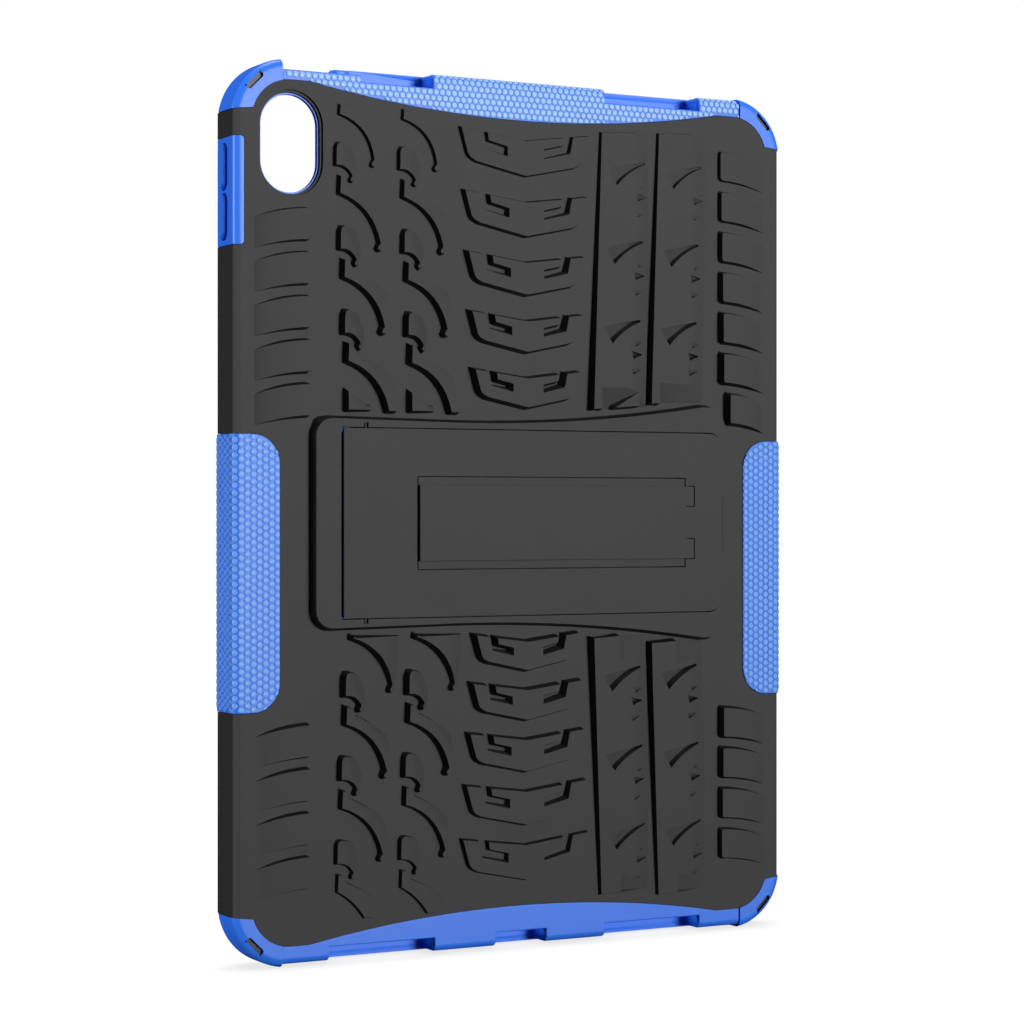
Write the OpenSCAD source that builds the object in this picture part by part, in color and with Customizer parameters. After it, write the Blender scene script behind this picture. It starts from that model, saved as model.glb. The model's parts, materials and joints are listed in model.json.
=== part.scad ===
// Rugged two-layer case for a 10.9 inch class tablet, standing upright with its tread face
// towards -Y: a hard tread shell clipped over a soft sleeve, with a two-part fold-out stand.
// Millimetres. X runs to the right as seen from behind, Z is up, Z = 0 is the lowest bumper.
// Modules below work with y = 0 on the flat back plane of the hard shell; placed() then moves
// everything so that the overall box is centred on Y = 0.

/* [Tablet] */
// Width of the tablet that the pocket takes
tablet_w = 179.5; // [150:0.5:220]
// Height of the tablet
tablet_h = 248.6; // [210:0.5:300]
// Thickness of the tablet
tablet_t = 7; // [5:0.1:10]
// Corner radius of the tablet
tablet_r = 15; // [12:0.5:16]
// Free play between the tablet and the pocket, on each side
pocket_play = 0.25; // [0.1:0.05:0.6]

/* [Sleeve] */
// Side wall of the soft sleeve
sleeve_side = 1.5; // [1:0.1:3]
// End wall of the soft sleeve
sleeve_end = 3.05; // [2:0.05:5]
// Back sheet of the soft sleeve
sleeve_back = 1.4; // [1:0.1:3]
// Thickness of the front lip
lip_t = 2.4; // [1.5:0.1:4]
// How far the front lip reaches over the screen border
lip_over = 2.6; // [1.5:0.1:5]
// Extra height of the bands over the sleeve's ends
band_t = 1.2; // [0.8:0.1:2]
// Extra height of the front rim over the sleeve's ends
rim_t = 1.7; // [1.3:0.1:2.5]
// Extra height of the corner bumpers over the sleeve's ends
bumper_end_t = 2.1; // [1.5:0.1:3]
// Corner radius of the bumpers
bumper_r = 18; // [17.5:0.5:21]
// Height of each bumper along the side
bumper_side = 16; // [13:0.5:22]
// Half width between the inner ends of the bumpers
bumper_inner_x = 77.7; // [74:0.1:79]

/* [Hard shell] */
// Back wall of the hard shell
shell_t = 1.6; // [1.2:0.1:3]
// Side wall of the hard shell
shell_side = 1.2; // [1:0.1:2.5]
// Rounding between the back and the sides
edge_r = 2.2; // [1:0.1:2.6]
// Distance from the bumper line to the shell's end edge at the middle
edge_mid = 12.7; // [10:0.1:16]
// The same distance near the corners
edge_corner = 6.2; // [5:0.1:8]
// Height of the side grips
grip_h = 79.3; // [60:0.1:90]
// Height of the grips' centre above the bottom
grip_z = 112.6; // [105:0.1:120]
// How far the grips reach in over the back
grip_in = 14; // [10:0.1:18]
// Radius of the grips' inner corners
grip_r = 8.5; // [4:0.1:12]
// Fit gap between the hard and the soft layer
layer_gap = 0.1; // [0.05:0.05:0.3]

/* [Tread] */
// Height of the tread at the stand
tread_h = 3.2; // [2:0.1:4]
// Drop of the tread height at the case's ends
tread_drop = 1.9; // [0.5:0.1:2]
// Pitch of the shoulder blocks
block_pitch = 12.57; // [11:0.01:14]
// Height of one shoulder block
block_h = 8.8; // [6:0.1:10]
// Pitch of the claws and dashes
claw_pitch = 24.1; // [22:0.1:27]

/* [Stand] */
// Height of the stand frame over the back plane
frame_h = 3.4; // [3:0.1:5]
// Width of the frame opening
bay_w = 129.4; // [110:0.1:132]
// Height of the frame opening
bay_h = 55.4; // [45:0.1:58]
// Height of the stand's centre above the bottom
bay_z = 126.8; // [120:0.1:135]
// Gap between the stand plate and its frame
bay_gap = 0.4; // [0.3:0.05:0.8]
// How far the stand plate stands proud of its frame
plate_proud = 1; // [0.4:0.1:1.5]
// Distance of the stand hinge from the left end of the plate
hinge_in = 7.5; // [6:0.1:9]
// Radius of the stand hinge pins
pin_r = 0.7; // [0.5:0.05:0.8]
// Radial clearance of the pins in their bores
pin_play = 0.05; // [0.02:0.01:0.1]
// Width of the prop strut with its side flanges
strut_w = 26.8; // [20:0.1:30]
// Length of the prop strut up to its hinge end
strut_len = 91.4; // [80:0.1:95]
// How far the strut's raised middle stands proud of the plate
strut_proud = 1.2; // [0.6:0.1:1.6]

/* [Buttons] */
// How far the button pads stand proud
button_proud = 1.2; // [0.6:0.1:1.5]
// Travel of a button pad when it is pressed
button_travel = 0.5; // [0.3:0.1:0.8]

/* [Hidden] */
$fn = 48;
hard = [0.16, 0.16, 0.165];
soft = [0.2, 0.45, 1];
steel = [0.6, 0.6, 0.62];
e = 0.4;                                   // overlap where two volumes of one piece fuse
far = 400;                                 // longer than anything that is cut

// overall sizes
pocket_w = tablet_w + 2 * pocket_play;
pocket_h = tablet_h + 2 * pocket_play;
pocket_t = tablet_t + 0.2;
sleeve_hw = pocket_w / 2 + sleeve_side;    // half width of the sleeve
sleeve_hh = pocket_h / 2 + sleeve_end;     // half height of the sleeve
half_w = sleeve_hw + shell_side;           // half width of the hard shell
bumper_hw = half_w + 0.7;                  // half width over the bumpers
mid_z = sleeve_hh + bumper_end_t;          // height of the case's centre
full_h = 2 * mid_z;
band_z = sleeve_hh + band_t;               // half height over the bands
back_y = shell_t + sleeve_back;            // where the tablet's back lies
lip_y = back_y + pocket_t;                 // where the front lip starts
front_y = lip_y + lip_t;                   // front face of the case
plate_y = -(frame_h + plate_proud);        // outer face of the stand plate
strut_y = plate_y - strut_proud;           // outer face of the strut
shift_x = (half_w + button_proud - bumper_hw) / 2;  // centres the overall box on X
shift_y = -(front_y + strut_y) / 2;        // and on Y
bumper_cx = bumper_hw - bumper_r;          // centre of a bumper's arc
shift_z = sqrt(pow(bumper_r, 2) - pow(bumper_inner_x + layer_gap - bumper_cx, 2)) - bumper_r;

module placed() { translate([shift_x, shift_y, shift_z]) children(); }

// a plan outline (x, z) extruded from y0 to y1
module slab(y0, y1) { translate([0, y1, 0]) rotate([90, 0, 0]) linear_extrude(y1 - y0) children(); }
// a box given by its two corners
module block(a, b) { translate(a) cube(b - a); }
// copies a bottom shape to the top of the case
module to_top() { translate([0, 0, full_h]) mirror([0, 0, 1]) children(); }
module to_left() { mirror([1, 0, 0]) children(); }

// points of a circular arc, angles in degrees
function arc(c, r, a0, a1, n = 10) =
    [for (i = [0:n]) let (a = a0 + (a1 - a0) * i / n) c + r * [cos(a), sin(a)]];
// points of the arc that bulges by s to the left of the way from p to q
function bow(p, q, s, n = 8) =
    let (d = q - p, m = (p + q) / 2, u = [-d[1], d[0]] / norm(d))
    [for (i = [0:n]) let (t = 2 * i / n - 1) m + d * t / 2 + u * s * (1 - t * t)];
// outline of a rounded rectangle about a centre
function round_box(c, w, h, r, n = 8) = concat(
    arc(c + [w / 2 - r, h / 2 - r], r, 0, 90, n), arc(c + [r - w / 2, h / 2 - r], r, 90, 180, n),
    arc(c + [r - w / 2, r - h / 2], r, 180, 270, n), arc(c + [w / 2 - r, r - h / 2], r, 270, 360, n));
function shifted(p, d) = [for (q = p) q + d];

// ---- outline of the hard shell -------------------------------------------------------------
corner_c = [bumper_cx, bumper_r];        // centre of a bottom bumper's arc
inner_r = bumper_r - 6;                             // arc between the shell and a bumper
inner_a = -17;                                      // where that arc ends at the side
wave_x = corner_c[0] - 6;                           // half width of the wavy end edge
function edge_z(x) = edge_mid - (edge_mid - edge_corner) * min(1, pow(x / wave_x, 2));
// right half of the bottom edge, from the middle to the side, moved out by g
function shell_edge(g = 0) = concat(
    [for (x = [0:wave_x / 12:wave_x + 0.01]) [x, edge_z(x) - g]],
    arc([corner_c[0], inner_r + edge_corner], inner_r + g, -90, inner_a, 10),
    [[half_w + 5, bumper_side - g]]);
module shell_plan(g = 0) {
    half = shell_edge(g);
    n = len(half);
    bottom = concat([for (i = [n - 1:-1:1]) [-half[i][0], half[i][1]]], half);
    m = len(bottom);
    polygon(concat(bottom, [for (i = [m - 1:-1:0]) [bottom[i][0], full_h - bottom[i][1]]]));
}
module sleeve_plan(g = 0) {
    polygon(round_box([0, mid_z], 2 * (sleeve_hw + g), 2 * (sleeve_hh + g), bumper_r - 1.5 + g, 12));
}
// what lies within the rounded long edges, as a cross-section along Z
module side_rounding(hw, y0) {
    translate([0, 0, -10]) linear_extrude(full_h + 20) {
        translate([-hw, y0 + edge_r]) square([2 * hw, 40]);
        translate([-(hw - edge_r), -40]) square([2 * (hw - edge_r), 80]);
        for (s = [-1, 1]) translate([s * (hw - edge_r), y0 + edge_r]) circle(edge_r);
    }
}

// ---- openings ------------------------------------------------------------------------------
camera_w = 20;
camera_h = 30.4;
camera_c = [-half_w + 17.5, full_h - 24.1];
module camera_plan(g = 0) {
    w = camera_w + 2 * g;
    polygon(round_box(camera_c, w, camera_h + 2 * g, w / 2 - 0.01, 14));
}
module grip_plan(g = 0) {
    w = 2 * grip_in + 2 * g;
    polygon(round_box([half_w, grip_z], w, grip_h + 2 * g, grip_r, 8));
}
volume_c = full_h - 38.3;                           // centre of the volume block
volume_h = 30.7;
volume_in = 3;
module volume_plan(g = 0) {
    polygon(round_box([-half_w, volume_c], 2 * volume_in + 2 * g, volume_h + 2 * g, 1, 4));
}
// speaker and port notches, as [centre, width]
slots_bottom = [[-46, 34], [0, 17.2], [46, 34]];
slots_top = [[-41.2, 23.6], [46, 34]];
slot_in = 5;                                        // depth of a notch from the bumper line
module end_slots(list) {
    for (s = list) {
        block([s[0] - s[1] / 2, -5, -5], [s[0] + s[1] / 2, lip_y - 1, slot_in]);
        block([s[0] - s[1] / 2 + 1, back_y, 0], [s[0] + s[1] / 2 - 1, lip_y - 1.5, slot_in + 2]);
    }
}

// ---- tread ---------------------------------------------------------------------------------
// height of the tread at a level z: it falls away from the stand like a crowned tyre
function crown(z) = tread_h - tread_drop * pow((z - bay_z) / (mid_z - 15), 2);
// the pattern fans out towards the ends
function fan(z) = 0.045 * (abs(z - bay_z) - 45);
// top of a tread bar: h high up to flat, then falling to nothing at run
function top_line(flat, run, h) = let (w = run - flat)
    [[flat, -h], [flat + 0.35 * w, -0.8 * h], [flat + 0.7 * w, -0.4 * h], [run, 0], [run, e]];
// everything under such a top that starts at p and falls along the angle
module under(p, angle, flat, run, h) {
    translate([p[0], 0, p[1]]) rotate([0, -angle, 0]) linear_extrude(80, center = true)
        polygon(concat([[-25, e], [-25, -h]], top_line(flat, run, h)));
}
module ramp(points, p, angle, flat, run, h) {
    intersection() {
        slab(-h - 1, e) polygon(points);
        under(p, angle, flat, run, h);
    }
}
// one shoulder block of the right side, its inner end high and its outer end fading
block_x0 = half_w - 23.2;
block_x1 = half_w - 6.1;
module shoulder_block(z, x0 = block_x0) {
    h = crown(z);
    low = bow([x0, z - block_h], [block_x1, z - block_h - 3.1], 0.7, 5);
    high = bow([block_x1, z - 3.1], [x0, z], -0.7, 5);
    n = 6;
    intersection() {
        slab(-h - 1, e) difference() {
            polygon(concat(low, high));
            for (c = [[x0, z], [x0, z - block_h]]) {
                s = c[1] == z ? -1 : 1;
                translate(c) scale([1, s])
                    polygon([[-1, -0.3], [1.6, -0.3], [0.5, 0.4], [0.12, 1.6], [-1, 1.6]]);
            }
        }
        // arched top: flat at the inner end, steepest where it fades out
        linear_extrude(far) polygon(concat([[x0, e], [x0, 0], [x0 + 0.25 * h, -h]],
            [for (i = [1:n]) let (t = i / n) [x0 + 1 + (block_x1 - x0 - 1) * t, -h * (1 - pow(t, 2.6))]],
            [[block_x1, e]]));
    }
}
module shoulders() {
    top = bay_z + 39.7;                             // upper edge of the first block over the stand
    bottom = bay_z - 57.6;                          // upper edge of the first block under it
    for (i = [0:3]) for (m = [0, 1]) mirror([m, 0, 0]) shoulder_block(bottom - i * block_pitch);
    for (i = [0:4]) to_left() shoulder_block(top + i * block_pitch);
    for (i = [0:6]) shoulder_block(top + i * block_pitch, block_x0 + (i == 0 ? 2.2 : 0));
}
// rounded tip that curls back a little to the left under q; r = 0 gives a straight cut
function tip(q, r) = r == 0 ? [q + [2.5, 0]] : shifted([for (t = [[-0.25, -0.3], [-0.6, -0.7], [-0.75, -1.1],
    [-0.55, -1.5], [-0.1, -1.6], [0.4, -1.4], [0.8, -0.9]]) t * r], q);
// a long curved claw whose corner is at (x, z); back is the far side of its outline
claw_q = [12.9, -14];
claw_back = [[14.5, -4], [8, 0], [3, 2.2]];
module claw(x, z, stem = 4.8, q = claw_q, back = claw_back, r = 1.2, angle = 41, flat = 3, run = 11,
        bulge = 2.8) {
    h = crown(z - 5);
    c = [x - fan(z), z];
    ramp(concat([c + [0.2, stem]], bow(c, c + q, bulge), tip(c + q, r),
        shifted(concat(back, [[1.4, stem - 0.3]]), c)), c, angle, flat, run, h);
}
// the short hook over a claw
hook_q = [5.3, -3];
module hook(x, z) {
    h = crown(z);
    c = [x - 0.7 - fan(z), z];
    ramp(concat(arc(c + [1.6, 5], 1.5, 75, 180, 4), bow(c, c + hook_q, 1), tip(c + hook_q, 1),
        [c + [7.5, 0.5], c + [6.5, 5.5]]), c, 20, 2, 7.2, h);
}
module claw_column(x) {
    top = bay_z + 46.7;                             // corner of the first claw over the stand
    bottom = bay_z - 57.8;                          // and of the first one under it
    claw(x, top, q = [13, -14.2], r = 0);
    for (i = [1:2]) claw(x, top + i * claw_pitch);
    claw(x + 1.2, top + 3 * claw_pitch - 1.3, stem = 2.6, q = [11, -12.6]);
    for (i = [0:2]) hook(x, top + 8.1 + i * claw_pitch);
    ramp([[x, top - 8.7], [x, top - 14], [x + 7.5, top - 14], [x + 7.8, top - 12.7], [x + 6, top - 12.7]],
        [x, top - 14], 45, 3, 8, crown(top));
    claw(x + 1, bottom + claw_pitch + 0.6, stem = 0.3, back = [[15.5, -4], [15.5, 0.3]],
        angle = 0, flat = 9, run = 17);
    for (i = [0:1]) claw(x, bottom - i * claw_pitch, run = 8);
    claw(x, bottom - 2 * claw_pitch, q = [8.6, -8], r = 0, run = 8, bulge = 0.8);
    for (i = [0:2]) hook(x, bottom + 8.2 - i * claw_pitch);
}
// a V-shaped block with an L-shaped channel in each arm; v is the tip, k its size
module chevron(v, k) {
    h = crown(v[1] + 6);
    arm = concat([[0, 0], [16.8, 3.5]], arc([16.6, 7], 3.2, -75, -12, 5), [[21.7, 13.2], [0, 10.4]]);
    channel = [[6.2, 5.4], [15.2, 7.5], [16.6, 14], [13.3, 14], [12.6, 9.9], [6.2, 8.4]];
    slab(-h, e) difference() {
        for (s = [-1, 1]) translate(v) scale([s * k, k]) polygon(arm);
        for (s = [-1, 1]) translate(v) scale([s * k, k]) polygon(channel);
    }
}
module chevrons() {
    for (i = [0:4]) chevron([0.6, bay_z + 34.4 + 16.3 * i + 0.24 * i * i], 0.82 + 0.045 * i);
    for (i = [0:4]) chevron([0.6, bay_z - 43.8 - 14.6 * i - 0.26 * i * i], 0.8 + 0.045 * i);
}
// a long bar from z0 up to z1 whose left side is a step; w0 and w1 are the widths of its blunt
// ends, and further right the ends fade over end_l
end_l = 9;
module rib(x, z0, z1, run, w0, w1) {
    a = x + fan(z0) - 2;
    b = x + fan(z1) - 2;
    h0 = crown(z0);
    h1 = crown(z1);
    h = (h0 + h1) / 2;
    mid = (z0 + z1) / 2;
    lean = atan2(b - a, z1 - z0);
    intersection() {
        slab(-6, e) polygon([[a, z0], [a + run, z0 + 1], [b + run, z1 + 1], [b, z1]]);
        // the ridge leans with the step and sinks towards the case's end
        translate([(a + b) / 2, 0, mid]) rotate([0, lean, 0]) rotate([atan2(h1 - h0, z1 - z0), 0, 0])
            linear_extrude(120, center = true)
                polygon(concat([[-1, 3], [0, 0], [0.05, -h]], top_line(0.62 * run, run, h), [[run, 3]]));
        union() {
            for (i = [0, 1]) slab(-6, 2) polygon([[a - 1, z0 - 1], [a + w0, z0 - 1], [a + w0, mid],
                [b + w1, mid], [b + w1, z1 + 2], [b - 1, z1 + 2], [a - 1, mid]]);
            // faded ends
            translate([-far / 2, 0, 0]) rotate([90, 0, 90]) linear_extrude(far)
                polygon([[e, z0 + 0.2], [0, z0 + 0.3], [-h0 - 1, z0 + end_l],
                    [-h1 - 1, z1 - end_l], [0, z1 + 0.5], [e, z1 + 0.6]]);
        }
    }
}
// a scoop that deepens towards the arc from p to q and ends there in a wall; w is its width at p
module scoop(p, q, s, w, floor_h, rise) {
    d = q - p;
    u = [-d[1], d[0]] / norm(d);
    intersection() {
        slab(-6, 0) polygon(concat(bow(p, q, s, 6), [q + u * w * 0.12, p + u * w]));
        translate([p[0], 0, p[1]]) rotate([0, -atan2(u[1], u[0]), 0]) linear_extrude(60, center = true)
            polygon([[-5, -6], [-5, -floor_h], [0, -floor_h], [w, -floor_h - rise], [w, -6]]);
    }
}
// the dashes of one rib over (side = 1) or under (side = -1) the stand
module dashes(x, side) {
    for (i = [0:2]) {
        z = bay_z + (side > 0 ? 54.3 : -51.2) + side * i * claw_pitch;
        p = [x + fan(z) + 0.4, z];
        h = crown(z);
        scoop(p, p + [10.6, 7], 0.9, 6, 0, 0.95 * h);
        scoop(p + [7.6, -4.5], p + [11.2, -3.2], 0.1, 2.6, 0, 0.8 * h);
        scoop(p + [8.6, -0.7], p + [12, 0.9], 0.1, 2, 0.45 * h, 0.4 * h);
        scoop(p + [7.4, -9.3], p + [11.2, -7.6], 0.1, 2, 0.5 * h, 0.4 * h);
    }
}
rib_x = 25.7;                                       // foot of the first rib
rib_gap = 20.3;
rib_run = 19.4;
module ribs() {
    top = bay_z + 34.4;                             // lower end of the upper ribs
    for (i = [0, 1]) {
        x = rib_x + i * rib_gap;
        difference() {
            union() {
                rib(x, top + 2 * i, full_h - 14.4 + i, rib_run, 3, 12);
                // a small wedge on the first rib, close to the stand
                if (i == 0) slab(-0.9 * crown(top), e)
                    polygon([[30.9, top + 0.5], [39.1, top + 5.2], [39.4, top + 1.2]]);
            }
            dashes(x + 3.5, 1);
        }
        difference() {
            rib(x, 14.2 - 1.4 * i, bay_z - 34.9 - 2 * i, rib_run, 7, 9);
            dashes(x + 3.5, -1);
        }
    }
}

// ---- stand frame ---------------------------------------------------------------------------
bay_x0 = -61;                                       // left end of the opening
bay_x1 = bay_x0 + bay_w;
plate_x0 = bay_x0 + bay_gap;
plate_x1 = bay_x1 - bay_gap;
plate_h = bay_h - 2 * bay_gap;
hinge_x = plate_x0 + hinge_in;
hinge_y = plate_y + 2;
frame_l = 7.8;                                      // frame margin at the hinge end
frame_s = 2.4;                                      // margin along the sides at the hinge end
frame_f = 7.8;                                      // margin along the sides at the free end
module frame_plan() {
    x0 = bay_x0 - frame_l;
    x1 = bay_x1 + 1.5;
    hl = bay_h / 2 + frame_s;
    hr = bay_h / 2 + frame_f;
    upper = concat(arc([x0 + 5, hl - 5], 5, 180, 90, 6), bow([-30, hl - 0.6], [x1 - 8, hr], -2, 10),
        arc([x1 - 6, hr - 6], 6, 80, 0, 6));
    n = len(upper);
    translate([0, bay_z]) polygon(concat(upper, [for (i = [n - 1:-1:0]) [upper[i][0], -upper[i][1]]]));
}
module bay_plan(g = 0) {
    r = 4;
    x0 = bay_x0 + g;
    x1 = bay_x1 - g;
    h = bay_h / 2 - g;
    translate([0, bay_z]) polygon(concat([[x0, -h]], arc([x1 - r, r - h], r, -90, 0, 6),
        arc([x1 - r, h - r], r, 0, 90, 6), [[x0, h]]));
}
heel_deep = 0.8;                                    // how far the heel's room reaches into the sleeve
notch_h = 17;                                       // finger notch at the free end
module finger_notch() {
    translate([bay_x1 + 7.6, 0, bay_z]) rotate([90, 0, 0]) cylinder(h = 12, r = 10.6, center = true);
}

module outer_shell() color(hard) placed() difference() {
    intersection() {
        union() {
            slab(0, front_y - 0.3) shell_plan();
            difference() {
                intersection() {
                    slab(-9, e) shell_plan(-0.5);
                    union() {
                        shoulders();
                        claw_column(-58.4);
                        claw_column(-38);
                        chevrons();
                        ribs();
                    }
                }
                slab(-9, 1) frame_clear();
            }
            slab(-frame_h, e) frame_plan();
        }
        side_rounding(half_w, 0);
    }
    slab(shell_t, front_y + 5) sleeve_plan(0);
    slab(-9, 0) bay_plan();
    // heel room: the plate's short end sinks into it when the stand opens
    heel_room(shell_t + 1);
    intersection() {
        slab(-9, -frame_h + 1.6) translate([0, bay_z - notch_h / 2]) square([80, notch_h]);
        finger_notch();
    }
    for (m = [0, 1]) mirror([m, 0, 0]) slab(-9, front_y + 5) grip_plan(layer_gap);
    slab(-9, front_y + 5) volume_plan(layer_gap);
    slab(-9, 9) camera_plan(-0.7);
    slab(-9, 0.8) camera_plan();
    // bores and open slots for the stand's pins
    for (s = [-1, 1]) translate([hinge_x, hinge_y, bay_z + s * (bay_h / 2 + 0.4)]) {
        cylinder(h = 3.5, r = pin_r + pin_play, center = true);
        translate([-pin_r, -5, -0.9]) cube([2 * pin_r, 5, 1.8]);
    }
}
module heel_room(y1) {
    block([bay_x0, -1, bay_z - bay_h / 2], [hinge_x - 0.6, y1, bay_z + bay_h / 2]);
}
// the tread keeps clear of the stand frame by this outline
module frame_clear() {
    translate([0, bay_z]) polygon(round_box([0.2, 0], bay_w + 12, bay_h + 5.6, 3, 4));
}

// ---- soft layer ----------------------------------------------------------------------------
module inner_sleeve() color(soft) placed() difference() {
    union() {
        slab(shell_t, front_y) sleeve_plan();
        // front rim, raised at both ends
        intersection() {
            slab(lip_y - 1, front_y) sleeve_plan(rim_t);
            block([-bumper_inner_x, 0, -5], [bumper_inner_x, 50, full_h + 5]);
        }
    }
    slab(back_y, lip_y) polygon(round_box([0, mid_z], pocket_w, pocket_h, tablet_r + pocket_play, 12));
    slab(lip_y - 1, front_y + 5)
        polygon(round_box([0, mid_z], pocket_w - 2 * lip_over, pocket_h - 2 * lip_over,
            tablet_r - lip_over, 12));
    slab(0, back_y + 1) camera_plan(-1.2);
    end_slots(slots_bottom);
    to_top() end_slots(slots_top);
    heel_room(shell_t + heel_deep);
    power_step();
    volume_room();
    power_room();
}
// the left part of the top end is lower, which gives a finger room at the power button
power_x0 = -bumper_inner_x;
power_x1 = -53;
power_z = full_h - 3.1;
module power_step() {
    block([power_x0 - 0.1, -5, power_z], [power_x1, front_y + 5, full_h + 5]);
}
// pads: a stadium outline with a domed outer face, pressing along +Z of their own frame
volume_len = 13.4;
volume_zs = [volume_c + 7.1, volume_c - 7.1];
button_y = back_y + tablet_t / 2 + 1.2;
button_w = 4.4;
button_fit = 0.3;
power_len = 6.2;
power_x = -56.7;
module button_plan(l, w) {
    polygon(round_box([0, 0], l, w, w / 2 - 0.01, 6));
}
// flange inside, cap outside; z = 0 is the outer face that the cap passes through
module pad(l, w, deep, proud) {
    translate([0, 0, -deep]) linear_extrude(deep + proud - 0.4) button_plan(l, w);
    translate([0, 0, proud - 0.4]) linear_extrude(0.4) button_plan(l - 0.7, w - 0.7);
}
// puts a pad's outer face on the left side of the case, at height z
module on_side(z, x) { translate([-x, button_y, z]) rotate([0, -90, 0]) children(); }
module on_top(x, z) { translate([x, button_y, z]) children(); }
module volume_room() {
    for (z = volume_zs) on_side(z, sleeve_hw)
        translate([0, 0, -3]) linear_extrude(6) button_plan(volume_len - 2.4, button_w - 1.6);
}
module power_room() {
    on_top(power_x, power_z) translate([0, 0, -6]) linear_extrude(12)
        button_plan(power_len + 2 * button_fit, button_w + 2 * button_fit);
}

// back pad and end pad of a band, drawn for the bottom
module band(slots) {
    difference() {
        intersection() {
            union() {
                slab(0.3, shell_t) difference() {
                    translate([-bumper_inner_x, mid_z - band_z]) square([2 * bumper_inner_x, edge_mid + 6]);
                    shell_plan(layer_gap);
                }
                block([-bumper_inner_x, 0.3, mid_z - band_z], [bumper_inner_x, lip_y - 1, mid_z - sleeve_hh]);
            }
            band_rounding();
        }
        end_slots(slots);
    }
}
module band_rounding() {
    r = 2;
    y0 = 0.3;
    z0 = mid_z - band_z;
    rotate([90, 0, 90]) linear_extrude(far, center = true) {
        translate([y0 + r, z0]) square([60, 60]);
        translate([y0, z0 + r]) square([60, 60]);
        translate([y0 + r, z0 + r]) circle(r);
    }
}
module bottom_band() color(soft) placed() band(slots_bottom);
module top_band() color(soft) placed() difference() {
    to_top() band(slots_top);
    power_step();
    power_room();
}

// ---- corner bumpers ------------------------------------------------------------------------
bumper_round = 2.6;
module bumper() {
    c = corner_c;
    y0 = -0.2;
    y1 = front_y;
    side_z = bumper_side - layer_gap;               // where it ends on the long side
    difference() {
        intersection() {
            slab(y0, y1) difference() {
                polygon([c + [0, 2], c + [0, -bumper_r - 1], [c[0] + 30, -1],
                    [c[0] + 30, side_z], [c[0] + 5, side_z]]);
                shell_plan(layer_gap);
                square([bumper_inner_x + layer_gap, 40]);
            }
            translate([c[0], 0, c[1]]) rotate([-90, 0, 0]) rotate_extrude() {
                translate([0, y0]) square([bumper_r - bumper_round, y1 - y0]);
                translate([0, y0 + bumper_round]) square([bumper_r, y1 - y0 - 2 * bumper_round]);
                for (y = [y0 + bumper_round, y1 - bumper_round])
                    translate([bumper_r - bumper_round, y]) circle(bumper_round);
            }
        }
        slab(shell_t, y1 + 1) sleeve_plan();
        // front rim of the sleeve passes under the inner end
        slab(lip_y - 1.1, y1 + 1) intersection() {
            sleeve_plan(rim_t + 0.1);
            square([bumper_inner_x + 0.1, 40]);
        }
        // slot along the rounded edge
        translate([c[0], 0, c[1]]) rotate([0, 45, 0]) slab(-1, 0.9)
            polygon(round_box([bumper_r - 2.5, 0], 1.6, 6.4, 0.8));
    }
}
module corner_bumper_bottom_right() color(soft) placed() bumper();
module corner_bumper_bottom_left() color(soft) placed() to_left() bumper();
module corner_bumper_top_right() color(soft) placed() to_top() bumper();
module corner_bumper_top_left() color(soft) placed() to_left() to_top() bumper();

// ---- grips and buttons ---------------------------------------------------------------------
grip_proud = 0.3;
module grip() {
    difference() {
        intersection() {
            slab(-grip_proud, front_y - 0.3) intersection() {
                grip_plan();
                square([half_w + grip_proud, full_h]);
            }
            side_rounding(half_w + grip_proud, -grip_proud);
        }
        slab(shell_t, front_y + 5) sleeve_plan();
    }
}
module side_grip_right() color(soft) placed() grip();
module side_grip_left() color(soft) placed() to_left() grip();
module volume_block() color(soft) placed() difference() {
    intersection() {
        slab(0, front_y - 0.3) intersection() {
            volume_plan();
            translate([-half_w, 0]) square([20, full_h]);
        }
        side_rounding(half_w, 0);
    }
    slab(shell_t, front_y + 5) sleeve_plan();
    for (z = volume_zs) on_side(z, half_w) translate([0, 0, -9]) linear_extrude(12)
        button_plan(volume_len + 2 * button_fit - 0.4, button_w + 2 * button_fit);
}
module volume_button(z) {
    on_side(z, half_w) {
        pad(volume_len - 0.4, button_w, shell_side - button_travel - 0.1, button_proud);
        translate([0, 0, -shell_side - sleeve_side + button_travel + 0.05])
            linear_extrude(sleeve_side + 0.1) button_plan(volume_len - 3, button_w - 2.2);
    }
}
module volume_up_button() color(soft) placed() volume_button(volume_zs[0]);
module volume_down_button() color(soft) placed() volume_button(volume_zs[1]);
module power_button() color(soft) placed() on_top(power_x, power_z) {
    pad(power_len, button_w, 1.4, 2);
}

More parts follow.
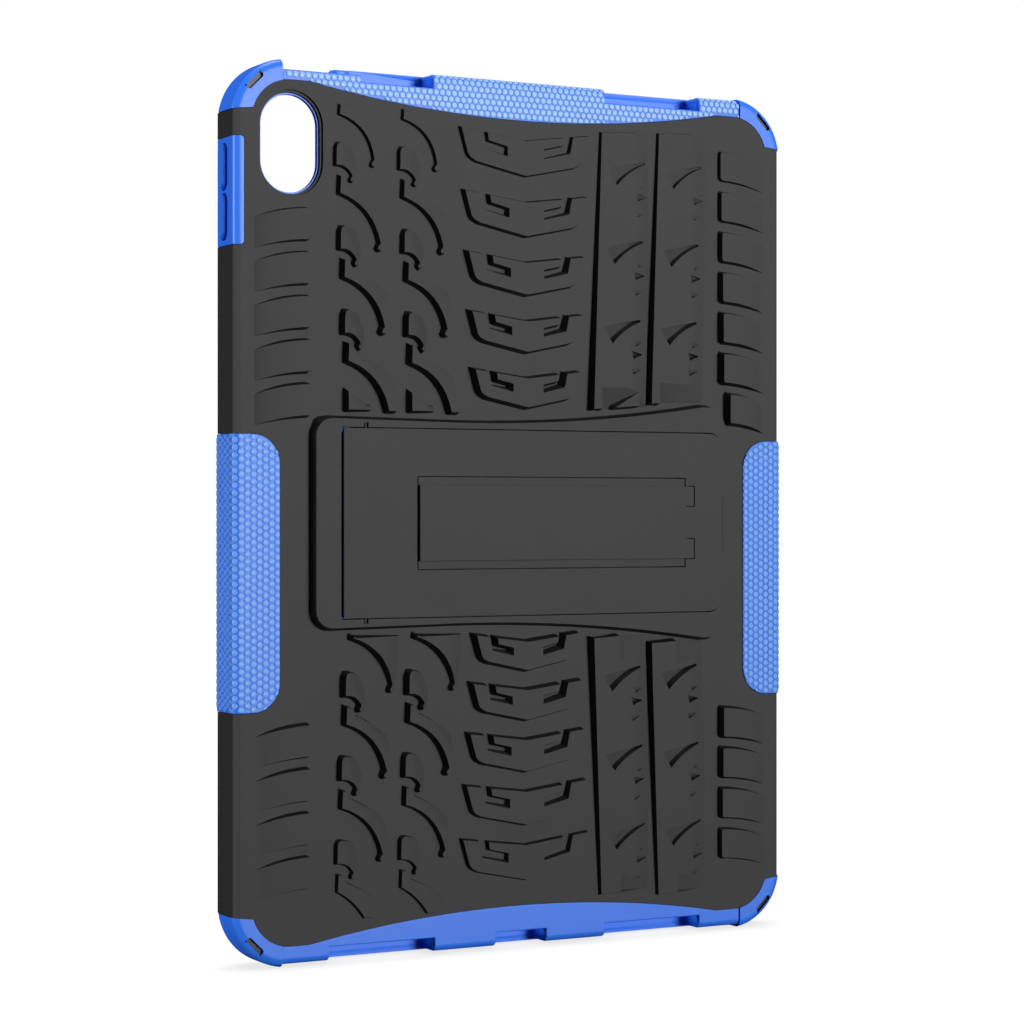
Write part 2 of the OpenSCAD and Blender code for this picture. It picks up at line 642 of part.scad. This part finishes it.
// ---- stand ---------------------------------------------------------------------------------
plate_t = 3.2;                                      // thickness of the stand plate
strut_x0 = -36.8;                                   // free end of the strut
strut_x1 = strut_x0 + strut_len;                    // where its flanges end
ear_len = 2.6;                                      // how far the hinge ears reach on
ear_h = 5.9;
rise_w = strut_w - 4.8;                             // width of the strut's raised middle
strut_t = 2.2;                                      // thickness of the flanges
strut_pin_x = strut_x1 + 1.1;
strut_pin_y = plate_y + 1.2;
strut_pin_r = 0.55;
window_gap = 0.3;
module kickstand_plate() color(hard) placed() difference() {
    slab(plate_y, plate_y + plate_t) bay_plan(bay_gap);
    // thin heel at the hinge end
    heel_cut();
    // window for the strut, its ears and their slots
    z = bay_z;
    block([strut_x0 - window_gap, -9, z - strut_w / 2 - window_gap],
        [strut_x1 + 0.35, 9, z + strut_w / 2 + window_gap]);
    for (s = [-1, 1]) translate([0, 0, z + s * (rise_w / 2 - ear_h / 2)])
        block([strut_x1 - 1, -9, -ear_h / 2 - 0.25], [strut_x1 + ear_len + 1.1, 9, ear_h / 2 + 0.25]);
    translate([strut_pin_x, strut_pin_y, z]) cylinder(h = strut_w + 3, r = strut_pin_r, center = true);
    for (s = [-1, 1]) translate([hinge_x, hinge_y, z + s * (plate_h / 2 - 1.5)])
        cylinder(h = 4, r = pin_r, center = true);
    finger_notch_plate();
}
module heel_cut() {
    h = plate_h;
    translate([hinge_x - 1.6, 0, bay_z]) linear_extrude(h + 2, center = true)
        polygon([[-20, plate_y + 0.9], [-hinge_in + 1.6, plate_y + 0.9], [0, hinge_y + 1.1],
            [0, 9], [-20, 9]]);
}
module finger_notch_plate() {
    translate([plate_x1 + 1.2, plate_y + 2.6, bay_z]) rotate([0, 0, 45])
        cube([1.6, 1.6, notch_h - 4], center = true);
}
module kickstand_strut() color(hard) placed() difference() {
    z = bay_z;
    union() {
        block([strut_x0, plate_y, z - strut_w / 2], [strut_x1, plate_y + strut_t, z + strut_w / 2]);
        block([strut_x0, strut_y, z - rise_w / 2], [strut_x1, plate_y + strut_t, z + rise_w / 2]);
        for (s = [-1, 1]) translate([0, 0, z + s * (rise_w / 2 - ear_h / 2)])
            block([strut_x1 - 1, strut_y, -ear_h / 2], [strut_x1 + ear_len, plate_y + strut_t, ear_h / 2]);
    }
    translate([strut_pin_x, strut_pin_y, z])
        cylinder(h = strut_w + 4, r = strut_pin_r + pin_play, center = true);
}
module stand_pin(s) {
    translate([hinge_x, hinge_y, bay_z + s * (bay_h / 2 - 0.6)]) cylinder(h = 5.2, r = pin_r, center = true);
}
module stand_hinge_pin_upper() color(steel) placed() stand_pin(1);
module stand_hinge_pin_lower() color(steel) placed() stand_pin(-1);
module strut_hinge_pin() color(steel) placed()
    translate([strut_pin_x, strut_pin_y, bay_z]) cylinder(h = strut_w + 2.6, r = strut_pin_r, center = true);

outer_shell();
inner_sleeve();
top_band();
bottom_band();
corner_bumper_top_left();
corner_bumper_top_right();
corner_bumper_bottom_left();
corner_bumper_bottom_right();
side_grip_left();
side_grip_right();
volume_block();
volume_up_button();
volume_down_button();
power_button();
kickstand_plate();
kickstand_strut();
stand_hinge_pin_upper();
stand_hinge_pin_lower();
strut_hinge_pin();
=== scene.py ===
import json
import math
import bmesh
import bpy
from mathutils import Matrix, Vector
from mathutils.bvhtree import BVHTree


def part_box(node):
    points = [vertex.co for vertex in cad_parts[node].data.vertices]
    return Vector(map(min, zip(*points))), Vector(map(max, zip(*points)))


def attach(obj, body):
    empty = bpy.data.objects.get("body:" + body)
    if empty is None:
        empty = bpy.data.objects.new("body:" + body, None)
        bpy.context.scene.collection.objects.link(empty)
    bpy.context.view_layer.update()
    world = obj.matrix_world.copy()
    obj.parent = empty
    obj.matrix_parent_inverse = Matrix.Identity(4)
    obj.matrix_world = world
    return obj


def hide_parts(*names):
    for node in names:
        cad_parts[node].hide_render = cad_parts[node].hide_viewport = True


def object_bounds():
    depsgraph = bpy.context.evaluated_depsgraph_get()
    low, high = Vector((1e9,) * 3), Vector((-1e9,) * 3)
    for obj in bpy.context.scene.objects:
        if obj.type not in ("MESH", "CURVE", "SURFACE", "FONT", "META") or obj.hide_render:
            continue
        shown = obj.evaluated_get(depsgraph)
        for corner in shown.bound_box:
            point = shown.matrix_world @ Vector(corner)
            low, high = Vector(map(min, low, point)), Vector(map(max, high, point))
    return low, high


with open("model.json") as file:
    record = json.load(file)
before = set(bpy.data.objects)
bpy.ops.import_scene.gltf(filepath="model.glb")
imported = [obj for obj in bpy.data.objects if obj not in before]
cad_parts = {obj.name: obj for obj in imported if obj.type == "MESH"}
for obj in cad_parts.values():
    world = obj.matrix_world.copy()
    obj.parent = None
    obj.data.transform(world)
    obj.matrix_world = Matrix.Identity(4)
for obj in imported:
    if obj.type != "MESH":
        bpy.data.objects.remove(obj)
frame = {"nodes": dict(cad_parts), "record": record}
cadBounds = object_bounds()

bodies = frame["record"]["behaviour"]["bodies"]
bodyOf = {node: body for body, members in bodies.items() for node in members}
slotOf = {part["node"]: part["material_slot"] for part in frame["record"]["subparts"]}
mm = 0.001


def report(stage):
    print("tablet case:", stage)


def newNodes(name):
    material = bpy.data.materials.new(name)
    material.use_nodes = True
    tree = material.node_tree
    tree.nodes.clear()
    output = tree.nodes.new("ShaderNodeOutputMaterial")
    shader = tree.nodes.new("ShaderNodeBsdfPrincipled")
    tree.links.new(shader.outputs[0], output.inputs["Surface"])
    return material, tree, shader


def feed(tree, node, inputs):
    # links a socket or sets a plain value
    for key, value in inputs.items():
        if isinstance(value, bpy.types.NodeSocket):
            tree.links.new(value, node.inputs[key])
        else:
            node.inputs[key].default_value = value
    return node


def addNode(tree, kind, inputs=None, **settings):
    node = tree.nodes.new("ShaderNode" + kind)
    for key, value in settings.items():
        setattr(node, key, value)
    return feed(tree, node, inputs or {})


def newGroup(name, inputs, outputs):
    group = bpy.data.node_groups.new(name, "ShaderNodeTree")
    for label, kind, value in inputs:
        socket = group.interface.new_socket(label, in_out="INPUT", socket_type="NodeSocket" + kind)
        if value is not None:
            socket.default_value = value
    for label, kind in outputs:
        group.interface.new_socket(label, in_out="OUTPUT", socket_type="NodeSocket" + kind)
    return group, group.nodes.new("NodeGroupInput"), group.nodes.new("NodeGroupOutput")


def mixColors(tree, factor, a, b):
    # sockets 6 and 7 are the two colours of the mix, output 2 is its colour
    node = tree.nodes.new("ShaderNodeMix")
    node.data_type = "RGBA"
    return feed(tree, node, {0: factor, 6: a, 7: b}).outputs[2]


def makeGrainGroup():
    # fine spark-eroded mould grain with a broad, faint unevenness under it
    group, gin, gout = newGroup(
        "mouldGrain",
        [("Vector", "Vector", None), ("Grain Size", "Float", 0.35 * mm), ("Depth", "Float", 0.2)],
        [("Normal", "Vector"), ("Broad", "Float"), ("Fine", "Float")])
    scale = addNode(group, "Math", {0: 1.0, 1: gin.outputs["Grain Size"]}, operation="DIVIDE")
    fine = addNode(group, "TexNoise", {"Vector": gin.outputs["Vector"], "Scale": scale.outputs[0],
                                       "Detail": 2.0, "Roughness": 0.55})
    broad = addNode(group, "TexNoise", {"Vector": gin.outputs["Vector"], "Scale": 45.0, "Detail": 3.0})
    bump = addNode(group, "Bump", {"Strength": gin.outputs["Depth"], "Distance": 0.08 * mm,
                                   "Height": fine.outputs[0]})
    group.links.new(bump.outputs[0], gout.inputs["Normal"])
    group.links.new(broad.outputs[0], gout.inputs["Broad"])
    group.links.new(fine.outputs[0], gout.inputs["Fine"])
    return group


def makeEdgeGroup():
    # mask of rubbed edges: where the rounded normal leaves the true one
    group, gin, gout = newGroup(
        "rubbedEdge",
        [("Vector", "Vector", None), ("Radius", "Float", 0.4 * mm), ("Amount", "Float", 1.0)],
        [("Mask", "Float")])
    geometry = addNode(group, "NewGeometry")
    rounded = addNode(group, "Bevel", {"Radius": gin.outputs["Radius"]}, samples=4)
    lean = addNode(group, "VectorMath", {0: rounded.outputs[0], 1: geometry.outputs["Normal"]},
                   operation="DOT_PRODUCT")
    turned = addNode(group, "MapRange", {"Value": lean.outputs["Value"], "From Min": 0.995,
                                         "From Max": 0.86, "To Min": 0.0, "To Max": 1.0})
    patches = addNode(group, "TexNoise", {"Vector": gin.outputs["Vector"], "Scale": 220.0, "Detail": 4.0})
    broken = addNode(group, "MapRange", {"Value": patches.outputs[0], "From Min": 0.38, "From Max": 0.62})
    mask = addNode(group, "Math", {0: turned.outputs[0], 1: broken.outputs[0]}, operation="MULTIPLY")
    scaled = addNode(group, "Math", {0: mask.outputs[0], 1: gin.outputs["Amount"]}, operation="MULTIPLY")
    group.links.new(scaled.outputs[0], gout.inputs["Mask"])
    return group


def makeGapGroup():
    # darkening where a surface runs close to another one
    group, gin, gout = newGroup(
        "gapShade",
        [("Reach", "Float", 1.0 * mm), ("Amount", "Float", 1.0)],
        [("Shade", "Float")])
    near = addNode(group, "AmbientOcclusion", {"Distance": gin.outputs["Reach"]}, samples=8)
    closed = addNode(group, "MapRange", {"Value": near.outputs["AO"], "From Min": 0.2, "From Max": 0.62,
                                        "To Min": 1.0, "To Max": 0.0})
    shade = addNode(group, "Math", {0: closed.outputs[0], 1: gin.outputs["Amount"]}, operation="MULTIPLY")
    group.links.new(shade.outputs[0], gout.inputs["Shade"])
    return group


grainGroup = makeGrainGroup()
gapGroup = makeGapGroup()
edgeGroup = makeEdgeGroup()


def useGroup(tree, group, inputs):
    node = tree.nodes.new("ShaderNodeGroup")
    node.node_tree = group
    return feed(tree, node, inputs)


def makeMoulded(name, look):
    material, tree, shader = newNodes(name)
    place = addNode(tree, "TexCoord").outputs["Object"]
    grain = useGroup(tree, grainGroup, {"Vector": place, "Grain Size": look["grain"] * mm,
                                        "Depth": look["depth"]})
    edge = useGroup(tree, edgeGroup, {"Vector": place, "Radius": 0.35 * mm, "Amount": look["rub"]})
    body = mixColors(tree, grain.outputs["Broad"], (*look["deep"], 1), (*look["color"], 1))
    gap = useGroup(tree, gapGroup, {"Reach": look["reach"] * mm, "Amount": look["gap"]})
    worn = mixColors(tree, edge.outputs["Mask"], body, (*look["rubbed"], 1))
    shaded = mixColors(tree, gap.outputs["Shade"], worn, (*look["shadow"], 1))
    # painted shade: steep walls, which face away from the light, get a darker colour
    facing = addNode(tree, "SeparateXYZ", {0: addNode(tree, "TexCoord").outputs["Normal"]})
    flat = addNode(tree, "Math", {0: facing.outputs["Y"]}, operation="ABSOLUTE")
    steep = addNode(tree, "MapRange", {"Value": flat.outputs[0], "From Min": 0.3, "From Max": 0.5,
                                       "To Min": look["steep"], "To Max": 0.0})
    color = mixColors(tree, steep.outputs[0], shaded, (*look["wall"], 1))
    rough = addNode(tree, "MapRange", {"Value": grain.outputs["Fine"], "From Min": 0.3, "From Max": 0.7,
                                       "To Min": look["rough"] - 0.05, "To Max": look["rough"] + 0.05})
    tree.links.new(color, shader.inputs["Base Color"])
    tree.links.new(rough.outputs[0], shader.inputs["Roughness"])
    tree.links.new(grain.outputs["Normal"], shader.inputs["Normal"])
    shader.inputs["Specular IOR Level"].default_value = look["gloss"]
    return material


# wall and steep set the painted shade on the steep walls; shadow sets the painted shade in narrow gaps
hardLook = dict(color=(0.058, 0.058, 0.059), deep=(0.052, 0.052, 0.053), rubbed=(0.075, 0.075, 0.075),
                shadow=(0.003, 0.003, 0.004), reach=1.6, gap=0.8, wall=(0.008, 0.008, 0.009), steep=0.8,
                rough=0.68, grain=0.22, depth=0.2, rub=0.25, gloss=0.2)
softLook = dict(color=(0.035, 0.215, 1.0), deep=(0.03, 0.195, 0.97), rubbed=(0.08, 0.29, 1.0),
                shadow=(0.001, 0.008, 0.07), reach=1.2, gap=1.0, wall=(0.01, 0.16, 1.0), steep=0.6,
                rough=0.42, grain=0.3, depth=0.1, rub=0.4, gloss=0.4)
# near-black copy of the sleeve rubber for the bumper slots: painted shade
slotShadeLook = dict(softLook, color=(0.004, 0.008, 0.03), deep=(0.003, 0.006, 0.02), rubbed=(0.01, 0.02, 0.06),
                wall=(0.003, 0.005, 0.02))
# darker copy of the sleeve rubber between the domes: painted shade in the grooves
grooveShadeLook = dict(softLook, color=(0.035, 0.2, 0.85), deep=(0.03, 0.18, 0.8), gap=0.6)
# lighter copy of the same rubber for the grip domes: painted light on the domes
gripLitLook = dict(softLook, color=(0.17, 0.42, 1.0), deep=(0.15, 0.38, 0.98), rubbed=(0.26, 0.5, 1.0), gap=0.4,
                wall=(0.05, 0.26, 1.0))
# lighter still for the top band's domes: painted light
bandLitLook = dict(gripLitLook, color=(0.36, 0.6, 1.0), deep=(0.32, 0.56, 0.98), rubbed=(0.45, 0.66, 1.0),
                wall=(0.2, 0.45, 1.0))


def makeSteel():
    material, tree, shader = newNodes("steelPaintedShade")
    place = addNode(tree, "TexCoord").outputs["Object"]
    lines = addNode(tree, "TexWave", {"Vector": place, "Scale": 900.0, "Distortion": 2.0},
                    bands_direction="Z")
    rough = addNode(tree, "MapRange", {"Value": lines.outputs[1], "To Min": 0.45, "To Max": 0.6})
    tree.links.new(rough.outputs[0], shader.inputs["Roughness"])
    # near-black base colour: painted shade, standing in for the shade the pins sit in inside their notches
    shader.inputs["Base Color"].default_value = (0.03, 0.03, 0.032, 1)
    shader.inputs["Metallic"].default_value = 1.0
    return material


hardPlastic = makeMoulded("hardPlastic", hardLook)
softRubber = makeMoulded("softRubber", softLook)
grooveShadeRubber = makeMoulded("grooveShadeRubber", grooveShadeLook)
slotShadeRubber = makeMoulded("slotShadeRubber", slotShadeLook)
gripDomesLit = makeMoulded("gripDomesLit", gripLitLook)
bandDomesLit = makeMoulded("bandDomesLit", bandLitLook)
steelPaintedShade = makeSteel()
finishOf = {"hard_shell": hardPlastic, "soft_sleeve": softRubber, "pin_steel": steelPaintedShade,
            "top_band": grooveShadeRubber, "side_grip_left": grooveShadeRubber, "side_grip_right": grooveShadeRubber}
report("materials ready")


cleaning = dict(merge=0.002 * mm, flat=math.radians(0.6), sharp=math.radians(32))


def keepPiece(name, bm, material, body):
    mesh = bpy.data.meshes.new(name)
    bm.to_mesh(mesh)
    bm.free()
    mesh.materials.append(material)
    mesh.polygons.foreach_set("use_smooth", [True] * len(mesh.polygons))
    mesh.set_sharp_from_angle(angle=cleaning["sharp"])
    piece = bpy.data.objects.new(name, mesh)
    bpy.context.scene.collection.objects.link(piece)
    weighted = piece.modifiers.new("weighted", "WEIGHTED_NORMAL")
    weighted.keep_sharp = True
    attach(piece, body)
    return piece


draft = dict(  # lean of the tread's steep walls, as a share of their height
    ratio=0.27, scoops=1.6, tallest=3.4 * mm, foot=-3.5 * mm, lift=0.04 * mm,
    steep=0.35,                     # a wall's run over its rise, at most
    short=0.02 * mm,                # a rise too small to lean
    corner=0.6,                     # sharpest corner that is mitred in full
    bay=((-61.2 * mm, 98.5 * mm), (69 * mm, 155 * mm)), half=90 * mm)


def riseOver(vert):
    # height of the steep wall that stands on this corner
    best = 0.0
    for edge in vert.link_edges:
        up = vert.co - edge.other_vert(vert).co
        if up.y > draft["short"] and math.hypot(up.x, up.z) < draft["steep"] * up.y:
            best = max(best, up.y)
    return best


def isTreadWall(face):
    middle = face.calc_center_median()
    low, high = draft["bay"]
    heights = [v.co.y for v in face.verts]
    return (abs(face.normal.y) < 0.3 and abs(middle.x) < draft["half"]
            and max(heights) < draft["foot"] + draft["short"]
            and min(heights) < draft["foot"] - 5 * draft["short"]
            and not (low[0] < middle.x < high[0] and low[1] < middle.z < high[1]))


def leanWalls(bm):
    # the steep walls of the tread get their draft: the foot of each moves outwards over the base
    bm.normal_update()
    walls = [f for f in bm.faces if isTreadWall(f)]
    feet = {}
    for face in walls:
        out = Vector((face.normal.x, 0, face.normal.z)).normalized()
        for vert in face.verts:
            rise = riseOver(vert)
            if rise > 0:
                outs = feet.setdefault(vert.co.copy().freeze(), [rise, []])[1]
                if all(out.dot(other) < 0.999 for other in outs):
                    outs.append(out)
    made = bmesh.ops.extrude_face_region(bm, geom=walls)["geom"]
    bmesh.ops.delete(bm, geom=[f for f in walls if f.is_valid], context="FACES_ONLY")
    for vert in [g for g in made if isinstance(g, bmesh.types.BMVert)]:
        rise, outs = feet.get(vert.co.copy().freeze(), (0.0, []))
        way = sum(outs, Vector())
        if way.length < 0.2:
            continue
        way.normalize()
        slant = draft["scoops"] if way.x < -0.35 and way.z > 0.6 else 1.0
        miter = max(draft["corner"], min(way.dot(out) for out in outs))
        vert.co += way * (slant * draft["ratio"] * min(rise, draft["tallest"]) / miter)
        vert.co.y += draft["lift"]
    bmesh.ops.remove_doubles(bm, verts=bm.verts, dist=0.0005 * mm)
    return len(walls)


def eased(node, name, width, segments=2, angle=34):
    # a merged copy of a CAD node whose outer edges are eased as a mould would leave them
    bm = bmesh.new()
    bm.from_mesh(frame["nodes"][node].data)
    bmesh.ops.remove_doubles(bm, verts=bm.verts, dist=cleaning["merge"])
    bmesh.ops.dissolve_limit(bm, angle_limit=cleaning["flat"], verts=bm.verts, edges=bm.edges,
                             use_dissolve_boundaries=False)
    bm.normal_update()
    sharp = [e for e in bm.edges if len(e.link_faces) == 2 and e.is_convex
             and e.calc_face_angle(0) > math.radians(angle)]
    bmesh.ops.bevel(bm, geom=sharp, offset=width * mm, offset_type="OFFSET", affect="EDGES",
                    segments=segments, profile=0.5, material=-1, clamp_overlap=True)
    if node == "outer_shell":
        print("  ", "leaning walls:", leanWalls(bm))
    finish = finishOf.get(node, finishOf[slotOf[node]])
    piece = keepPiece(name, bm, finish, bodyOf[node])
    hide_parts(node)
    return piece


easing = {  # CAD node: piece name, edge easing in mm
    "outer_shell": ("treadShell", 0.22),
    "inner_sleeve": ("softSleeve", 0.25),
    "top_band": ("topBand", 0.3),
    "bottom_band": ("bottomBand", 0.3),
    "corner_bumper_top_left": ("bumperTopLeft", 0.3),
    "corner_bumper_top_right": ("bumperTopRight", 0.3),
    "corner_bumper_bottom_left": ("bumperBottomLeft", 0.3),
    "corner_bumper_bottom_right": ("bumperBottomRight", 0.3),
    "side_grip_left": ("gripLeft", 0.3),
    "side_grip_right": ("gripRight", 0.3),
    "volume_block": ("volumeBlock", 0.25),
    "volume_up_button": ("volumeUpPad", 0.3),
    "volume_down_button": ("volumeDownPad", 0.3),
    "power_button": ("powerPad", 0.3),
    "kickstand_plate": ("standPlate", 0.5),
    "kickstand_strut": ("propStrut", 0.35),
}
pieces = {}
for node, (name, width) in easing.items():
    piece = pieces[node] = eased(node, name, width)
    print("  ", name, len(piece.data.polygons), "faces")


slot = dict(  # a bumper's slot in mm: how far in, half its length and width, depth that stays blue
    inset=6.9, half=3.25, wide=0.9, skin=0.25, floor=2.5)


def darkenSlot(node):
    # painted shade: the walls and floor of the short slot over the rounded edge of a bumper get a near-black
    # material, standing in for the dark of the case seen through it
    low, high = (Vector(c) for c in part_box(node))
    sideways = 1 if low.x > 0 else -1
    upwards = 1 if low.z > 100 * mm else -1
    center = Vector(((high.x if sideways > 0 else low.x) - sideways * slot["inset"] * mm, 0,
                     (high.z if upwards > 0 else low.z) - upwards * slot["inset"] * mm))
    radial = Vector((sideways, 0, upwards)).normalized()
    along = Vector((upwards, 0, -sideways)).normalized()
    mesh = pieces[node].data
    mesh.materials.append(slotShadeRubber)
    for face in mesh.polygons:
        away = face.center - center
        inside = abs(away.dot(along)) < slot["half"] * mm and abs(away.dot(radial)) < slot["wide"] * mm
        if inside and slot["skin"] * mm < face.center.y - low.y < slot["floor"] * mm:
            face.material_index = 1


for node in easing:
    if node.startswith("corner_bumper"):
        darkenSlot(node)
for node in ("stand_hinge_pin_upper", "stand_hinge_pin_lower", "strut_hinge_pin"):
    pin = frame["nodes"][node]
    pin.data.materials.clear()
    pin.data.materials.append(steelPaintedShade)
report("pieces eased")


cells = dict(  # the fields of small hexagonal domes: spacing in mm, radii as shares of it
    pitch=2.15, fine=2.0, radius=0.51, inner=0.84, crown=0.5, rise=0.2, top=0.3, root=-0.1,
    probe=1.5, near=0.12, facing=0.9)


def wrapPoint(wrap, s, t):
    # surface point and outward direction: s runs over the back and round the edge, t along it
    flat = wrap["flat"]
    if s < flat:
        over, deep, turn = s, 0.0, 0.0
    elif s < flat + wrap["radius"] * math.pi / 2:
        turn = (s - flat) / wrap["radius"]
        over = flat + wrap["radius"] * math.sin(turn)
        deep = wrap["radius"] * (1 - math.cos(turn))
    else:
        turn = math.pi / 2
        over = flat + wrap["radius"]
        deep = wrap["radius"] + s - flat - wrap["radius"] * math.pi / 2
    point = wrap["start"] + wrap["across"] * over + Vector((0, 1, 0)) * deep + wrap["along"] * t
    return point, Vector((0, -1, 0)) * math.cos(turn) + wrap["across"] * math.sin(turn)


def domeField(name, node, wrap, material, pitch):
    mesh = pieces[node].data
    tree = BVHTree.FromPolygons([v.co for v in mesh.vertices], [list(f.vertices) for f in mesh.polygons])

    def onFace(s, t):
        point, out = wrapPoint(wrap, s, t)
        reach = cells["probe"] * mm
        place, normal, index, distance = tree.ray_cast(point + out * reach, -out, 2 * reach)
        return (place is not None and abs(distance - reach) < cells["near"] * mm
                and normal.dot(out) > cells["facing"])

    def clipped(s, t, ds, dt):
        # a corner that would hang over the border is drawn back to it
        if onFace(s + ds, t + dt):
            return 1.0
        low, high = 0.0, 1.0
        for step in range(6):
            half = (low + high) / 2
            low, high = (half, high) if onFace(s + ds * half, t + dt * half) else (low, half)
        return low

    stepS, stepT = pitch * math.sqrt(3) / 2, pitch
    bm = bmesh.new()
    count = 0
    for i in range(-1, int(wrap["width"] / stepS) + 2):
        for j in range(-1, int(wrap["length"] / stepT) + 2):
            s = (i + 0.5) * stepS
            t = (j + 0.5 + i % 2 / 2) * stepT
            if s < 0 or t < 0 or not onFace(s, t):
                continue
            corners = []
            for k in range(6):
                turn = math.radians(60 * k)
                ds, dt = (cells["radius"] * pitch * f(turn) for f in (math.cos, math.sin))
                keep = clipped(s, t, ds, dt)
                corners.append((ds * keep, dt * keep))
            rings = []
            shoulder = (1 + cells["inner"]) / 2
            for share, height in ((1, cells["root"]), (shoulder, cells["rise"] * 0.6),
                                  (cells["inner"], cells["rise"]), (cells["crown"], cells["top"])):
                ring = []
                for ds, dt in corners:
                    point, out = wrapPoint(wrap, s + ds * share, t + dt * share)
                    ring.append(bm.verts.new(point + out * height * mm))
                rings.append(ring)
            for low, high in zip(rings, rings[1:]):
                for k in range(6):
                    bm.faces.new((low[k - 1], low[k], high[k], high[k - 1]))
            bm.faces.new(rings[-1])
            count += 1
    bmesh.ops.recalc_face_normals(bm, faces=bm.faces)
    keepPiece(name, bm, material, bodyOf[node])
    print("  ", name, count, "domes")


fields = dict(  # mm: depth of the band's field, rounding of each edge, how far each field wraps
    bandDeep=13 * mm, bandRound=2 * mm, bandWidth=23 * mm, gripRound=2.2 * mm, gripWidth=29 * mm)
low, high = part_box("top_band")
domeField("bandDomeField", "top_band", dict(
    start=Vector((low[0], low[1], high[2] - fields["bandDeep"])), across=Vector((0, 0, 1)),
    along=Vector((1, 0, 0)), flat=fields["bandDeep"] - fields["bandRound"],
    radius=fields["bandRound"], width=fields["bandWidth"], length=high[0] - low[0]),
    bandDomesLit, cells["fine"] * mm)
for node, name, side in (("side_grip_left", "gripDomesLeft", -1), ("side_grip_right", "gripDomesRight", 1)):
    low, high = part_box(node)
    domeField(name, node, dict(
        start=Vector((high[0] if side < 0 else low[0], low[1], low[2])),
        across=Vector((side, 0, 0)), along=Vector((0, 0, 1)),
        flat=high[0] - low[0] - fields["gripRound"], radius=fields["gripRound"],
        width=fields["gripWidth"], length=high[2] - low[2]), gripDomesLit, cells["pitch"] * mm)
report("domes set")


def makeStage(look):
    bm = bmesh.new()
    bmesh.ops.create_grid(bm, x_segments=1, y_segments=1, size=look["size"])
    mesh = bpy.data.meshes.new("floor")
    bm.to_mesh(mesh)
    bm.free()
    floor = bpy.data.objects.new("floor", mesh)
    floor.location.z = cadBounds[0][2]
    # seen directly the floor glows as pale as the backdrop and keeps only a contact shadow
    material, tree, shader = newNodes("paleFloor")
    path = addNode(tree, "LightPath")
    near = addNode(tree, "AmbientOcclusion", {"Distance": look["reach"] * mm}, samples=8)
    contact = addNode(tree, "MapRange", {"Value": near.outputs["AO"], "From Min": 0.4, "From Max": 0.9,
                                         "To Min": look["contact"], "To Max": 1.0})
    glow = addNode(tree, "Math", {0: contact.outputs[0], 1: path.outputs["Is Camera Ray"]},
                   operation="MULTIPLY")
    tree.links.new(glow.outputs[0], shader.inputs["Emission Strength"])
    shader.inputs["Emission Color"].default_value = (1, 1, 1, 1)
    shader.inputs["Base Color"].default_value = (*look["color"], 1)
    shader.inputs["Roughness"].default_value = look["rough"]
    mesh.materials.append(material)
    bpy.context.scene.collection.objects.link(floor)


def makeWorld(seen, lit):
    world = bpy.data.worlds.new("paleStudio")
    world.use_nodes = True
    tree = world.node_tree
    tree.nodes.clear()
    path = addNode(tree, "LightPath")
    ambient = addNode(tree, "Background", {"Color": (1, 1, 1, 1), "Strength": lit})
    backdrop = addNode(tree, "Background", {"Color": (1, 1, 1, 1), "Strength": seen})
    mix = addNode(tree, "MixShader", {0: path.outputs["Is Camera Ray"], 1: ambient.outputs[0],
                                      2: backdrop.outputs[0]})
    output = tree.nodes.new("ShaderNodeOutputWorld")
    tree.links.new(mix.outputs[0], output.inputs["Surface"])
    bpy.context.scene.world = world


def sunLight(name, source, strength, spread):
    data = bpy.data.lights.new(name, "SUN")
    data.energy = strength
    data.angle = math.radians(spread)
    lamp = bpy.data.objects.new(name, data)
    lamp.rotation_euler = (-Vector(source)).to_track_quat("-Z", "Y").to_euler()
    bpy.context.scene.collection.objects.link(lamp)


def makeCamera(view):
    data = bpy.data.cameras.new("viewCamera")
    data.sensor_width = 36
    data.lens = view["lens"]
    camera = bpy.data.objects.new("viewCamera", data)
    turn = math.radians(view["turn"])
    camera.location = [a * mm for a in view["place"]]
    camera.rotation_euler = Vector((math.sin(turn), math.cos(turn), 0)).to_track_quat("-Z", "Y").to_euler()
    bpy.context.scene.collection.objects.link(camera)
    bpy.context.scene.camera = camera


floorLook = dict(size=3.0, reach=14, contact=0.78, color=(0.05, 0.05, 0.05), rough=0.9)
viewpoint = dict(place=(-386.81, -704.26, 129.85), turn=28.7, lens=94.24)  # mm, degrees, mm
lamps = {  # name: the side it shines from, strength, spread in degrees
    "broadKey": ((0.34, -1, 0.05), 3.1, 20),
    "sideRim": ((-1, 0.14, 0.1), 2.0, 10),
    "topRim": ((0.1, 0.14, 1), 1.5, 20),
}
makeStage(floorLook)
makeWorld(seen=1.0, lit=0.07)
makeCamera(viewpoint)
for name, (source, strength, spread) in lamps.items():
    sunLight(name, source, strength, spread)
scene = bpy.context.scene
scene.view_settings.view_transform = "Standard"
report("stage ready")
